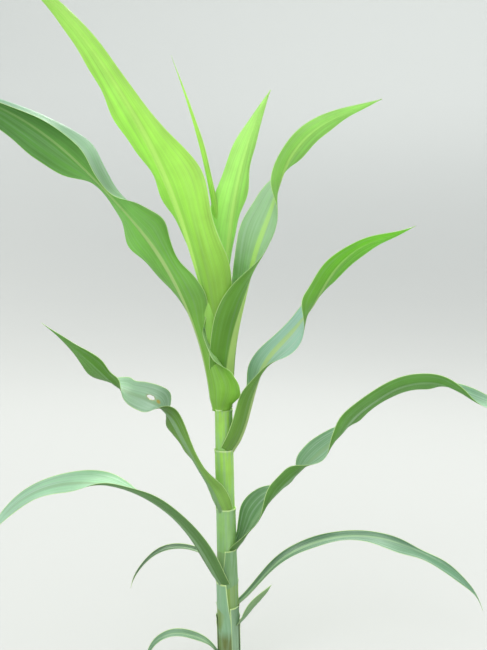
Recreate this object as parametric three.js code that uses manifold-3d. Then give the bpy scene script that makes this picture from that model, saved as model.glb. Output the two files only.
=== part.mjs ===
// A young maize plant, just under a metre tall, rooted in the ground.
// Lengths are in millimetres and angles in degrees. +Z is up, the front is -Y, and the plant's two
// ranks of leaves spread to the left (-X) and to the right (+X).
// The origin is the centre of the flat cut under the stalk, at ground level.
import * as THREE from "three";
import { mergeVertices } from "three/addons/utils/BufferGeometryUtils.js";
import Module from "manifold-3d";

const wasm = await Module();
wasm.setup();

// The stalk leans a little to the left. What shows of it is the sheath of each leaf in turn.
const LEAN_DEG = 1.2;
const STALK_SIDES = 16;
const SHEATH_STEP = 0.9; // how far the stalk steps in above each collar
const COLLAR_RISE = 6; // height over which a sheath swells to its collar
const FLARE_HEIGHT = 20; // the foot widens to the ground over this height
const FLARE_RADIUS = 3.2; // by this much
const FLARE_RINGS = [0, 6, 13, FLARE_HEIGHT]; // heights of the rings that shape the foot
const OPEN_SHEATHS = 9; // the leaves above these rise inside the last one's sheath
const WHORL_TOP = 440; // the rolled heart of the whorl ends here, inside the open leaves
const WHORL_RADIUS = 3;

const CLEARANCE = 0.35; // gap between neighbouring solids
const MOST_WRAP = 330; // how far round the stalk a wide blade reaches at its collar
const BASE_WIDTH = 0.85; // of the full width, where a narrow blade leaves the stalk
const BASE_THICKNESS = 0.35; // of the full thickness, where a blade leaves the stalk
const MARGIN_THICKNESS = 0.45; // of the thickness at the midrib
const TIP_THINNING = 0.6; // of the thickness, lost by the tip
const FULL_WIDTH_FROM = 0.28; // of the length
const FULL_THICKNESS_FROM = 0.3; // of the length
const TAPER_FROM = 0.3; // of the length
const TAPER_POWER = 1.7;
const LEAST_WIDTH = 0.05; // of the full width, left at the cut-off tip
const RING_SPACING = 18; // along a blade
const LEAST_RINGS = 6;
const WALK_STEPS = 240;
const ACROSS = [-1, -0.55, 0, 0.55, 1]; // places across a blade, far margin to near margin
const RADIANS = Math.PI / 180;

const STALK_FINISH = { color: 0x8fc46c, roughness: 0.55, metalness: 0 };
const LEAF_FINISH = { color: 0x5f9f5a, roughness: 0.5, metalness: 0 };
const YOUNG_LEAF_FINISH = { color: 0x8fc83a, roughness: 0.5, metalness: 0 };

// The leaves, from the ground up, left and right in turn.
// collar: height of the collar, and radius: the sheath's radius there.
// length, width: of the flat blade. side: -1 left, 1 right.
// The lists are read smoothly along the blade, from the collar to the tip:
// lift is the angle of the midrib above level, front the angle by which it heads to the front,
// and face the angle by which the upper side turns to the front.
// curl: the turn of the gutter, from the first place past the collar, where it hugs the stalk.
// bend: the part of the length where an arching blade is split in two.
const LEAVES = [
  {
    name: "leaf_01", side: -1, collar: 28, radius: 17.4, length: 152, width: 17,
    lift: [62, 30, 14, -25, -70, -80], front: [10, 10], face: [0, 20, 20], curl: [60, 40],
    bend: 0.55,
  },
  {
    name: "leaf_02", side: 1, collar: 74, radius: 17.2, length: 78, width: 16,
    lift: [52, 54, 54], front: [15, 15], face: [0, -30, -60], curl: [80, 60],
  },
  {
    name: "leaf_03", side: -1, collar: 84, radius: 17.0, length: 232, width: 22,
    lift: [88, 80, 52, 32, 12, -14, -40, -56, -78], front: [-75, -40, 0, 0, 0, 0], face: [0, 0, 30],
    curl: [60, 40],
    bend: 0.5,
  },
  {
    name: "leaf_04", side: 1, collar: 101, radius: 16.8, length: 436, width: 28,
    lift: [44, 46, 25, 10, -6, -21, -29, -45, -72], front: [-10, -5, 0, 0], face: [0, 20, 30, 35],
    curl: [80, 60, 50], bend: 0.5,
  },
  {
    name: "leaf_05", side: -1, collar: 136, radius: 16.4, length: 476, width: 38,
    lift: [60, 60, 49, 32, 8, -10, -36, -60, -70], front: [50, 20, 0, 0, 0],
    face: [0, -15, -20, -25, -20, 0, 45, 50, 45, 30, 20], curl: [70, 50, 40, 40], bend: 0.5,
  },
  {
    name: "leaf_06", side: 1, collar: 184, radius: 14.8, length: 545, width: 42,
    lift: [60, 59, 55, 46, 46, 43, 42, 52, 38, 32, 14, -5, -27, -20, -18, -35, -50], front: [10, 5, 0, 0],
    face: [0, 20, 35, 20, -30, -30, 20, 45, 5, -45, -50, -50, -50, -50, -45, 0, 40, 45, 40, 30, 20],
    curl: [70, 60, 60, 50, 40], bend: 0.5,
  },
  {
    name: "leaf_07", side: -1, collar: 243, radius: 14.0, length: 374, width: 52,
    lift: [66, 64, 60, 60, 62, 62, 62, 50, 30, 18, 30, 42, 44, 42, 40, 38, 38], front: [55, 10, 0, 0, 0],
    face: [0, -3, -5, 0, -5, -25, -40, -52, -55, -15, 50, 60, 40, -15, -45, -50, -45, -40, -35, -30, -30],
    curl: [90, 50, 40, 40, 40, 30],
    bend: 0.52,
  },
  {
    name: "leaf_08", side: 1, collar: 328, radius: 13.5, length: 420, width: 60,
    lift: [62, 75, 71, 48, 52, 60, 42, 18, 26], front: [10, 5, 0, 0],
    face: [0, 0, 0, 40, 55, 30, -30, -50, -50, -45, -40], curl: [150, 80, 50, 50], bend: 0.5,
  },
  {
    name: "leaf_09", side: -1, collar: 386, radius: 12.6, length: 600, width: 80,
    lift: [84, 76, 66, 57, 48, 43, 34, 18, 0], front: [0, 10, 20, 20, 15, 10],
    face: [0, -5, -15, -35, -55, -20, -25, -65, -60, -50, -40], curl: [180, 120, 60, 60, 50, 40],
    bend: 0.52,
  },
  {
    name: "leaf_10", side: 1, collar: 391, radius: 10.2, length: 506, width: 72,
    lift: [90, 85, 77, 76, 69, 72, 48, 24, 22], front: [5, 5, 0, 0], face: [0, 0, 5, 42, 35, -50, -60, -50],
    curl: [240, 150, 90, 60, 60, 60], bend: 0.56,
  },
  {
    name: "leaf_11", side: -1, collar: 391, radius: 7.7, length: 640, width: 84,
    lift: [88, 85, 75, 72, 67, 60, 55, 45, 30], front: [0, 5, 15, 20, 20], face: [0, 0, -40, -60, -70],
    curl: [240, 120, 70, 50, 40], bend: 0.5,
  },
  {
    name: "leaf_12", side: 1, collar: 391, radius: 5.7, length: 445, width: 76,
    lift: [92, 92, 89, 84, 79, 72, 62], front: [0, 0], face: [0, 0, -50, -80, -80],
    curl: [260, 160, 90, 70],
  },
  {
    name: "leaf_13", side: -1, collar: 391, radius: 4.2, length: 490, width: 26,
    lift: [91, 90, 87, 80, 74, 70], front: [0, 0], face: [0, -20, -20], curl: [300, 240],
  },
];
const SHEATHS = LEAVES.slice(0, OPEN_SHEATHS);

// A value along a blade, read smoothly from its evenly spaced stations, at t from 0 to 1.
function along(stations, t) {
  const last = stations.length - 1;
  const place = THREE.MathUtils.clamp(t, 0, 1) * last;
  const i = Math.min(Math.floor(place), last - 1);
  const u = place - i;
  const [a, b, c, d] = [i - 1, i, i + 1, i + 2].map((k) => stations[THREE.MathUtils.clamp(k, 0, last)]);
  const slopeIn = (c - a) / 2;
  const slopeOut = (d - b) / 2;
  const between = b * (1 + 2 * u) * (1 - u) ** 2 + c * u * u * (3 - 2 * u);
  return between + slopeIn * u * (1 - u) ** 2 - slopeOut * u * u * (1 - u);
}

// The middle of the stalk at a height.
function stalkCentre(z) {
  return new THREE.Vector3(-Math.tan(LEAN_DEG * RADIANS) * z, 0, z);
}

// The stalk's radius at a height: sheath after sheath, each a step inside the one below it.
function stalkRadius(z) {
  if (z > SHEATHS.at(-1).collar) return WHORL_RADIUS;
  const above = SHEATHS.findIndex((leaf) => leaf.collar >= z);
  const own = SHEATHS[above];
  const below = SHEATHS[above - 1] ?? { collar: 0, radius: own.radius + SHEATH_STEP };
  const t = (z - below.collar) / (own.collar - below.collar);
  const swell = SHEATH_STEP * Math.max(0, 1 - (own.collar - z) / COLLAR_RISE);
  const flare = FLARE_RADIUS * Math.max(0, 1 - z / FLARE_HEIGHT) ** 2;
  return THREE.MathUtils.lerp(below.radius - SHEATH_STEP, own.radius - SHEATH_STEP / 2, t) + swell + flare;
}

// The thickness at the midrib: thin where the blade leaves the stalk, and tapering to the tip.
function thicknessAt(leaf, t) {
  const opened = THREE.MathUtils.smoothstep(t, 0, FULL_THICKNESS_FROM);
  const thinned = 1 - TIP_THINNING * t ** 3;
  return (leaf.length / 100) * THREE.MathUtils.lerp(BASE_THICKNESS, 1, opened) * thinned;
}

// The radius at which the middle of a blade hugs the stalk at its collar.
function hugRadius(leaf) {
  return leaf.radius + CLEARANCE + thicknessAt(leaf, 0) / 2;
}

function baseHalfWidth(leaf) {
  return Math.min(hugRadius(leaf) * (MOST_WRAP / 2) * RADIANS, (BASE_WIDTH * leaf.width) / 2);
}

// The half width of a flat blade at t: it widens from the collar, and tapers to a long point.
function halfWidth(leaf, t) {
  const opened = THREE.MathUtils.smoothstep(t, 0, FULL_WIDTH_FROM);
  const widest = THREE.MathUtils.lerp(baseHalfWidth(leaf), leaf.width / 2, opened);
  const tapered = THREE.MathUtils.clamp((t - TAPER_FROM) / (1 - TAPER_FROM), 0, 1);
  return widest * Math.max(LEAST_WIDTH, 1 - tapered ** TAPER_POWER);
}

// The turn of the gutter at t: it hugs the stalk at the collar, and opens from there. It stays wide enough
// for the blade's own thickness.
function curlAt(leaf, t) {
  const hug = (2 * baseHalfWidth(leaf)) / hugRadius(leaf) / RADIANS;
  const tightest = (2 * halfWidth(leaf, t)) / thicknessAt(leaf, t);
  return Math.min(along([hug, ...leaf.curl], t) * RADIANS, tightest);
}

// The midrib of a leaf, as stations walked in equal steps from the collar: a place, and the directions
// across the blade to its near margin, and up out of its upper side.
function walkMidrib(leaf) {
  const step = leaf.length / WALK_STEPS;
  const outward = leaf.front[0] * RADIANS;
  const place = stalkCentre(leaf.collar).add(
    new THREE.Vector3(leaf.side * Math.cos(outward), -Math.sin(outward), 0).multiplyScalar(hugRadius(leaf)),
  );
  const stations = [];
  for (let i = 0; i <= WALK_STEPS; i++) {
    const t = i / WALK_STEPS;
    const lift = along(leaf.lift, t) * RADIANS;
    const front = along(leaf.front, t) * RADIANS;
    const face = along(leaf.face, t) * RADIANS;
    const ahead = new THREE.Vector3(
      leaf.side * Math.cos(lift) * Math.cos(front),
      -Math.cos(lift) * Math.sin(front),
      Math.sin(lift),
    );
    const level = new THREE.Vector3(-leaf.side * Math.sin(front), -Math.cos(front), 0);
    const upright = new THREE.Vector3(
      -leaf.side * Math.sin(lift) * Math.cos(front),
      Math.sin(lift) * Math.sin(front),
      Math.cos(lift),
    );
    const near = level.clone().multiplyScalar(Math.cos(face)).addScaledVector(upright, -Math.sin(face));
    const up = upright.clone().multiplyScalar(Math.cos(face)).addScaledVector(level, Math.sin(face));
    stations.push({ place: place.clone(), near, up });
    place.addScaledVector(ahead, step);
  }
  return stations;
}

// The station at t, between two that were walked.
function stationAt(stations, t) {
  const i = Math.min(Math.floor(t * WALK_STEPS), WALK_STEPS - 1);
  const share = t * WALK_STEPS - i;
  const [before, after] = [stations[i], stations[i + 1]];
  return {
    t,
    place: before.place.clone().lerp(after.place, share),
    near: before.near.clone().lerp(after.near, share).normalize(),
    up: before.up.clone().lerp(after.up, share).normalize(),
  };
}

// A point of the blade: a share of the way across, and a height above its middle surface.
function bladePoint(leaf, station, across, height, grow) {
  const half = halfWidth(leaf, station.t) + grow;
  const curl = curlAt(leaf, station.t);
  const radius = (2 * half) / curl;
  const turn = (across * curl) / 2;
  return station.place
    .clone()
    .addScaledVector(station.near, (radius - height) * Math.sin(turn))
    .addScaledVector(station.up, radius - (radius - height) * Math.cos(turn));
}

// A closed blade between two places along the leaf, as a solid. Grown a little, it cuts its neighbours clear.
function bladeSolid(leaf, from, to, grow = 0) {
  const stations = walkMidrib(leaf);
  const rings = Math.max(LEAST_RINGS, Math.round(((to - from) * leaf.length) / RING_SPACING));
  const vertices = [];
  const around = 2 * ACROSS.length;
  for (let i = 0; i <= rings; i++) {
    const station = stationAt(stations, from + ((to - from) * i) / rings);
    const thickness = thicknessAt(leaf, station.t);
    const height = (across) => (thickness / 2) * (1 - (1 - MARGIN_THICKNESS) * Math.abs(across)) + grow;
    const upper = ACROSS.map((across) => bladePoint(leaf, station, across, height(across), grow));
    const under = ACROSS.map((across) => bladePoint(leaf, station, across, -height(across), grow));
    vertices.push(...upper, ...under.reverse());
  }
  // The quads of both sides are cut along the same diagonal, so that a twisted blade doesn't cross itself.
  const faces = [];
  for (let i = 0; i < rings; i++) {
    for (let k = 0; k < around; k++) {
      const next = (k + 1) % around;
      const [a, b] = [i * around + k, i * around + next];
      const [c, d] = [a + around, b + around];
      if (k < ACROSS.length) faces.push([a, b, d], [a, d, c]);
      else faces.push([a, b, c], [b, d, c]);
    }
  }
  for (let k = 0; k < ACROSS.length - 1; k++) {
    const [a, b, c, d] = [k, k + 1, around - 2 - k, around - 1 - k];
    faces.push([a, c, b], [a, d, c]);
    const end = rings * around;
    faces.push([end + a, end + b, end + c], [end + a, end + c, end + d]);
  }
  return solidFrom(vertices, leaf.side > 0 ? faces : faces.map(([a, b, c]) => [a, c, b]));
}

function solidFrom(points, faces) {
  return new wasm.Manifold(
    new wasm.Mesh({
      numProp: 3,
      vertProperties: new Float32Array(points.flatMap((p) => [p.x, p.y, p.z])),
      triVerts: new Uint32Array(faces.flat()),
    }),
  );
}

// The stalk: rings up the sheaths and the whorl, closed by the flat cut at the ground and a small flat top.
function stalkSolid(grow = 0) {
  const heights = [...FLARE_RINGS];
  for (const sheath of SHEATHS) {
    heights.push(sheath.collar - COLLAR_RISE, sheath.collar, sheath.collar + SHEATH_STEP);
  }
  heights.push(WHORL_TOP);
  const points = heights.flatMap((z) =>
    Array.from({ length: STALK_SIDES }, (_, k) => {
      const turn = (2 * Math.PI * k) / STALK_SIDES;
      const radius = stalkRadius(z) + grow;
      return stalkCentre(z).add(new THREE.Vector3(Math.cos(turn) * radius, Math.sin(turn) * radius, 0));
    }),
  );
  const faces = [];
  const top = (heights.length - 1) * STALK_SIDES;
  for (let k = 0; k < STALK_SIDES; k++) {
    const next = (k + 1) % STALK_SIDES;
    for (let i = 0; i < top; i += STALK_SIDES) {
      const above = i + STALK_SIDES;
      faces.push([i + k, i + next, above + next], [i + k, above + next, above + k]);
    }
    if (k > 0 && next > 0) faces.push([0, next, k], [top, top + k, top + next]);
  }
  return solidFrom(points, faces);
}

function meshFrom(name, solid, finish) {
  const made = solid.getMesh();
  const geometry = new THREE.BufferGeometry();
  geometry.setAttribute("position", new THREE.BufferAttribute(new Float32Array(made.vertProperties), 3));
  geometry.setIndex(new THREE.BufferAttribute(new Uint32Array(made.triVerts), 1));
  const mesh = new THREE.Mesh(mergeVertices(geometry), new THREE.MeshStandardMaterial(finish));
  mesh.name = name;
  return mesh;
}

const plant = new THREE.Group();
plant.add(meshFrom("stalk", stalkSolid(), STALK_FINISH));

// The blades, each cut clear of the stalk and of the blades outside it. Scraps that a cut leaves are dropped.
const cutters = [stalkSolid(CLEARANCE)];
for (const leaf of LEAVES) {
  const finish = SHEATHS.includes(leaf) ? LEAF_FINISH : YOUNG_LEAF_FINISH;
  const halves = leaf.bend
    ? [
        [leaf.name + "_inner", 0, leaf.bend],
        [leaf.name + "_outer", leaf.bend + CLEARANCE / leaf.length, 1],
      ]
    : [[leaf.name, 0, 1]];
  for (const [name, from, to] of halves) {
    const cut = cutters.reduce((solid, cutter) => solid.subtract(cutter), bladeSolid(leaf, from, to));
    const [largest] = cut.decompose().sort((a, b) => b.volume() - a.volume());
    plant.add(meshFrom(name, largest, finish));
  }
  cutters.push(...halves.map(([, from, to]) => bladeSolid(leaf, from, to, CLEARANCE)));
}

export default plant;
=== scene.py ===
# %% [markdown]
# # A young maize plant
# A maize plant is a stalk wrapped in leaf sheaths. Each sheath ends at a collar, where its blade turns away
# from the stalk, left and right in turn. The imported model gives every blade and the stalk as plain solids.
# Here each of them is replaced by a finer mesh in the same place, with the finish of the living plant.

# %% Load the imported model
import math

import bpy
import numpy as np
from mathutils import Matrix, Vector


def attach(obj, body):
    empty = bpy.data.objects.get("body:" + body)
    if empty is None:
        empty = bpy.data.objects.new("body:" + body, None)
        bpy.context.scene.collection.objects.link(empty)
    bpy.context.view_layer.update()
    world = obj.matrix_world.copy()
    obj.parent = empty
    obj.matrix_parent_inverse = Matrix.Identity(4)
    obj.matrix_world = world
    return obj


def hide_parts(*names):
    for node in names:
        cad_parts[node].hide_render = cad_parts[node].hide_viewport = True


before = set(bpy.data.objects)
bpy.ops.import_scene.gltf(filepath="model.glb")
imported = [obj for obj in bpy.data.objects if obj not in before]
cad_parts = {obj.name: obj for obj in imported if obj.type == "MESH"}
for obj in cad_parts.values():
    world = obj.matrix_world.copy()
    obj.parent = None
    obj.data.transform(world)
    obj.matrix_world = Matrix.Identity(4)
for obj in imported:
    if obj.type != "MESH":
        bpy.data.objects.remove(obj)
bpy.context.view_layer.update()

print("nodes:", len(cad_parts))

# %% [markdown]
# ## Camera
# The photograph was taken close in front of the plant, from a little over half its height, tilted down a
# little. A focal length equal to the sensor's long side, which is the upright one, gives a view 53 degrees
# high.

# %% Camera
CAMERA_PLACE = (0.0205, -0.910, 0.568)
CAMERA_DOWN_DEG = 4.0
SENSOR_MM = 36.0
NEAREST_SEEN = 0.01

bpy.ops.object.select_all(action="DESELECT")
bpy.ops.object.camera_add(location=CAMERA_PLACE, rotation=(math.radians(90 - CAMERA_DOWN_DEG), 0, 0))
camera = bpy.context.object
camera.name = "camera"
camera.data.sensor_fit = "AUTO"
camera.data.sensor_width = SENSOR_MM
camera.data.lens = SENSOR_MM
camera.data.clip_start = NEAREST_SEEN
bpy.context.scene.camera = camera
print("camera at", CAMERA_PLACE)

# %% [markdown]
# ## The growth rule
# A blade could be drawn point by point, but it would be hard to change. Instead it grows: its midrib is
# walked from the collar in small equal steps, and each step knows how steeply it climbs, which way it heads,
# how far the blade is turned on edge and how deep its gutter is. Lengths are in millimetres and angles in
# degrees.
#
# - `side` is -1 to the left and 1 to the right, `collar` the collar's height, `radius` the stalk's radius
#   there, and `length` and `width` are the flat blade's.
# - The lists are read smoothly from the collar to the tip. `lift` is the midrib's angle above level, `front`
#   how far it heads to the front, `face` how far the upper side turns to the front, and `curl` the gutter's
#   turn.
#
# The model's own source has the same, so each fine blade lies where its solid lies. The rest is finer:
#
# - `near` and `far` widen or narrow the half nearer the front, and the other half.
# - `twists` deepen the gutter where the blade turns over: a place along it, an angle and a spread.
# - `rolls` roll a share of one margin over, from the place where the roll starts to the one where it ends.
# - `band` is half the width of the pale midrib at the collar, and `band_shift` its shift to the front there.
# - `spots` are a hole and a withered spot, each with its place and size.

# %% Leaf sizes
LEAVES = {
    "leaf_01": dict(
        side=-1, collar=28, radius=17.4, length=152, width=17,
        lift=[62, 30, 14, -25, -70, -80], front=[10, 10], face=[0, 20, 20], curl=[60, 40],
    ),
    "leaf_02": dict(
        side=1, collar=74, radius=17.2, length=78, width=16,
        lift=[52, 54, 54], front=[15, 15], face=[0, -30, -60], curl=[80, 60],
        near=[1.3, 1.6, 1.6, 1.3, 1], far=[1.3, 1.6, 1.6, 1.3, 1],
    ),
    "leaf_03": dict(
        side=-1, collar=84, radius=17.0, length=232, width=22,
        lift=[88, 80, 52, 32, 12, -14, -40, -56, -78], front=[-75, -40, 0, 0, 0, 0], face=[0, 0, 30],
        curl=[60, 40],
        near=[1, 1, 1, 1.2, 1.4, 1],
    ),
    "leaf_04": dict(
        side=1, collar=101, radius=16.8, length=436, width=28,
        lift=[44, 46, 25, 10, -6, -21, -29, -45, -72], front=[-10, -5, 0, 0], face=[0, 20, 30, 35],
        curl=[80, 60, 50],
        near=[1, 1, 1, 1, 1, 1.25, 2.5, 2.0, 3.1, 3.2, 1.6],
        far=[0.6, 0.7, 0.75, 0.75, 0.7, 0.75, 0.8, 0.55, 0.95, 0.6, 0.6],
    ),
    "leaf_05": dict(
        side=-1, collar=136, radius=16.4, length=476, width=38,
        lift=[60, 60, 49, 32, 8, -10, -36, -60, -70], front=[50, 20, 0, 0, 0],
        face=[0, -15, -20, -25, -20, 0, 45, 50, 45, 30, 20], curl=[70, 50, 40, 40],
        far=[1, 1, 1, 1, 1.2, 1.4, 1.1, 1, 1, 1, 1],
        twists=[(0.5, 60, 0.06)],
    ),
    "leaf_06": dict(
        side=1, collar=184, radius=14.8, length=545, width=42,
        lift=[60, 59, 55, 46, 46, 43, 42, 52, 38, 32, 14, -5, -27, -20, -18, -35, -50], front=[10, 5, 0, 0],
        face=[0, 20, 35, 20, -30, -30, 20, 45, 5, -45, -50, -50, -50, -50, -45, 0, 40, 45, 40, 30, 20],
        curl=[70, 60, 60, 50, 40],
        near=[1, 1, 1, 1, 1, 1, 1.1, 1.2, 1.6, 1.6, 1],
        far=[1, 1.75, 1.1, 1.1, 1, 1, 1.3, 1.3, 1.6, 1.6, 1],
        twists=[(0.165, 90, 0.04), (0.275, 90, 0.04), (0.4, 110, 0.05), (0.77, 90, 0.05)],
    ),
    "leaf_07": dict(
        side=-1, collar=243, radius=14.0, length=374, width=52,
        lift=[66, 64, 60, 60, 62, 62, 62, 50, 30, 18, 30, 42, 44, 42, 40, 38, 38], front=[55, 10, 0, 0, 0],
        face=[0, -3, -5, 0, -5, -25, -40, -52, -55, -15, 50, 60, 40, -15, -45, -50, -45, -40, -35, -30, -30],
        curl=[90, 50, 40, 40, 40, 30],
        near=[
            1, 0.95, 0.9, 0.85, 0.65, 0.45, 0.42, 0.5, 0.6, 0.8, 0.95,
            0.95, 0.95, 0.9, 0.75, 1.2, 1.4, 1.4, 1.4, 1.2, 1,
        ],
        far=[1, 1, 1, 1, 0.95, 0.8, 0.6, 0.75, 0.95, 1.25, 1.1, 1, 1, 1.7, 2.2, 2.3, 2.2, 2, 1.7, 1.3, 1],
        twists=[(0.46, 90, 0.06), (0.655, 90, 0.06)],
        row_spacing=1.2,
        spots=[
            dict(t=0.517, from_rib=-4.6, long=11, wide=5.6, hole=True),
            dict(t=0.487, from_rib=-5.2, long=5, wide=4, hole=False),
        ],
    ),
    "leaf_08": dict(
        side=1, collar=328, radius=13.5, length=420, width=60,
        lift=[62, 75, 71, 48, 52, 60, 42, 18, 26], front=[10, 5, 0, 0],
        face=[0, 0, 0, 40, 55, 30, -30, -50, -50, -45, -40], curl=[150, 80, 50, 50],
        near=[1, 1, 0.9, 0.8, 1.2, 1.35, 1, 1.1, 1, 1, 1],
        far=[1, 1, 0.75, 0.75, 0.55, 0.6, 1, 1, 1.5, 1.6, 1],
        twists=[(0.56, 90, 0.06)],
    ),
    "leaf_09": dict(
        side=-1, collar=386, radius=12.6, length=600, width=80,
        lift=[84, 76, 66, 57, 48, 43, 34, 18, 0], front=[0, 10, 20, 20, 15, 10],
        face=[0, -5, -15, -35, -55, -20, -25, -65, -60, -50, -40], curl=[180, 120, 60, 60, 50, 40],
        near=[
            1.05, 1.85, 1.25, 0.62, 0.56, 0.85, 0.75, 0.55, 0.65, 0.95, 0.85,
            0.95, 1.5, 2.0, 1.85, 1.5, 1.3, 1.2, 1.1, 1, 1,
        ],
        far=[1, 1, 1, 1, 1, 1, 1, 1, 1, 1.25, 1.1, 0.8, 0.8, 1.2, 1.5, 1.8, 2, 1.9, 1.6, 1.2, 1],
        rolls=[
            dict(side=1, share=0.5, turn=-150, start=0.48, full=0.58, fades=0.85, end=1.0),
            dict(side=1, share=0.4, turn=-80, start=0.0, full=0.05, fades=0.07, end=0.14),
            dict(side=1, share=0.35, turn=-160, start=0.08, full=0.13, fades=0.17, end=0.23),
        ],
        band=2.7,
    ),
    "leaf_10": dict(
        side=1, collar=391, radius=10.2, length=506, width=72,
        lift=[90, 85, 77, 76, 69, 72, 48, 24, 22], front=[5, 5, 0, 0], face=[0, 0, 5, 42, 35, -50, -60, -50],
        curl=[240, 150, 90, 60, 60, 60],
        near=[1, 1.3, 1.3, 1.3, 1.2, 1.3, 1, 0.85, 1, 1, 1],
        far=[1, 1, 1, 0.9, 0.9, 1.15, 1, 1, 1, 1, 1],
        twists=[(0.62, 90, 0.06)],
        band=8, band_shift=9,
    ),
    "leaf_11": dict(
        side=-1, collar=391, radius=7.7, length=640, width=84,
        lift=[88, 85, 75, 72, 67, 60, 55, 45, 30], front=[0, 5, 15, 20, 20], face=[0, 0, -40, -60, -70],
        curl=[240, 120, 70, 50, 40],
        near=[1, 1, 1.2, 1.6, 1.35, 1.45, 0.9, 0.7, 0.75, 1, 1],
        far=[1, 1, 1, 1, 0.75, 0.7, 0.95, 1.1, 0.9, 1, 1],
        twists=[(0.36, -45, 0.13)],
        band=9,
    ),
    "leaf_12": dict(
        side=1, collar=391, radius=5.7, length=445, width=76,
        lift=[92, 92, 89, 84, 79, 72, 62], front=[0, 0], face=[0, 0, -50, -80, -80],
        curl=[260, 160, 90, 70],
        near=[1, 1, 1, 1, 1.1, 1.2, 1.2, 1.2, 1.2, 1.1, 1],
        far=[1, 1, 1, 1, 0.8, 0.7, 0.7, 0.75, 0.8, 0.9, 1],
    ),
    "leaf_13": dict(
        side=-1, collar=391, radius=4.2, length=490, width=26,
        lift=[91, 90, 87, 80, 74, 70], front=[0, 0], face=[0, -20, -20], curl=[300, 240],
    ),
}
print("leaves:", len(LEAVES))

# %% [markdown]
# ### Reading a value along a blade
# A few evenly spaced values, read smoothly, describe a long bend with very little writing. The curve passes
# through every value, and its slope there comes from the two neighbours.


# %% Values along a blade
def along(stations, t):
    """The stations read smoothly at t, from 0 at the collar to 1 at the tip."""
    values = np.asarray(stations, float)
    last = len(values) - 1
    place = np.clip(t, 0, 1) * last
    i = np.minimum(place.astype(int), last - 1)
    u = place - i
    a, b, c, d = (values[np.clip(i + step, 0, last)] for step in (-1, 0, 1, 2))
    between = b * (1 + 2 * u) * (1 - u) ** 2 + c * u * u * (3 - 2 * u)
    return between + (c - a) / 2 * u * (1 - u) ** 2 - (d - b) / 2 * u * u * (1 - u)


def smooth(x, low, high):
    """0 below low, 1 above high, and an S curve between them."""
    u = np.clip((x - low) / (high - low), 0, 1)
    return u * u * (3 - 2 * u)


climb = along(LEAVES["leaf_06"]["lift"], np.array(0.5))
print("climb of leaf_06 at its middle:", round(float(climb)), "degrees")

# %% [markdown]
# ### Width and gutter
# A blade widens from its collar and tapers to a long point. At the collar it hugs the stalk, so its gutter is
# deep there. How far from the stalk its middle lies follows from the thickness of the plain solid.

# %% Width and gutter
CLEARANCE = 0.35
MOST_WRAP_DEG = 330
BASE_WIDTH = 0.85
BASE_THICKNESS = 0.35
TIP_THINNING = 0.6
FULL_WIDTH_FROM = 0.28
FULL_THICKNESS_FROM = 0.3
TAPER_FROM = 0.3
TAPER_POWER = 1.7
LEAST_WIDTH = 0.02


def solid_thickness(leaf, t):
    """The thickness of the leaf's plain solid, a hundredth of its length where it is full."""
    opened = BASE_THICKNESS + (1 - BASE_THICKNESS) * smooth(t, 0, FULL_THICKNESS_FROM)
    return leaf["length"] / 100 * opened * (1 - TIP_THINNING * t**3)


def hug_radius(leaf):
    """The radius at which the middle of a blade hugs the stalk at its collar."""
    return leaf["radius"] + CLEARANCE + solid_thickness(leaf, 0) / 2


def base_half_width(leaf):
    """Half the width at the collar, where a wide blade wraps most of the stalk."""
    return min(hug_radius(leaf) * math.radians(MOST_WRAP_DEG / 2), BASE_WIDTH * leaf["width"] / 2)


def half_width(leaf, t):
    """Half the width of the flat blade: it widens from the collar and tapers to a long point."""
    opened = smooth(t, 0, FULL_WIDTH_FROM)
    widest = base_half_width(leaf) * (1 - opened) + leaf["width"] / 2 * opened
    tapered = np.clip((t - TAPER_FROM) / (1 - TAPER_FROM), 0, 1)
    return widest * np.maximum(LEAST_WIDTH, 1 - tapered**TAPER_POWER)


def gutter(leaf, t):
    """The turn of the gutter in radians: it hugs the stalk, opens, and deepens where the blade turns over."""
    hug = math.degrees(2 * base_half_width(leaf) / hug_radius(leaf))
    tightest = 2 * half_width(leaf, t) / solid_thickness(leaf, t)
    turn = np.minimum(np.radians(along([hug, *leaf["curl"]], t)), tightest)
    for at, degrees, spread in leaf.get("twists", ()):
        turn = turn + math.radians(degrees) * np.exp(-(((t - at) / spread) ** 2))
    return turn


print("widest half blade:", round(float(half_width(LEAVES["leaf_11"], np.array(0.3))), 1), "mm")

# %% [markdown]
# ### Walking the midrib
# The direction of each step comes from the climb and the heading. Two more go with it: across to the margin
# nearer the front, and up out of the upper side.

# %% The midrib
LEAN_DEG = 1.2
WALK_STEPS = 240


def stalk_centre(z):
    """The middle of the leaning stalk at each height."""
    return np.stack([-math.tan(math.radians(LEAN_DEG)) * z, 0 * z, z], axis=-1)


def read_rows(t, steps, rows):
    """Rows of three numbers, known at the steps, read at each t."""
    return np.stack([np.interp(t, steps, rows[:, k]) for k in range(3)], axis=-1)


def unit(rows):
    return rows / np.linalg.norm(rows, axis=1)[:, None]


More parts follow.
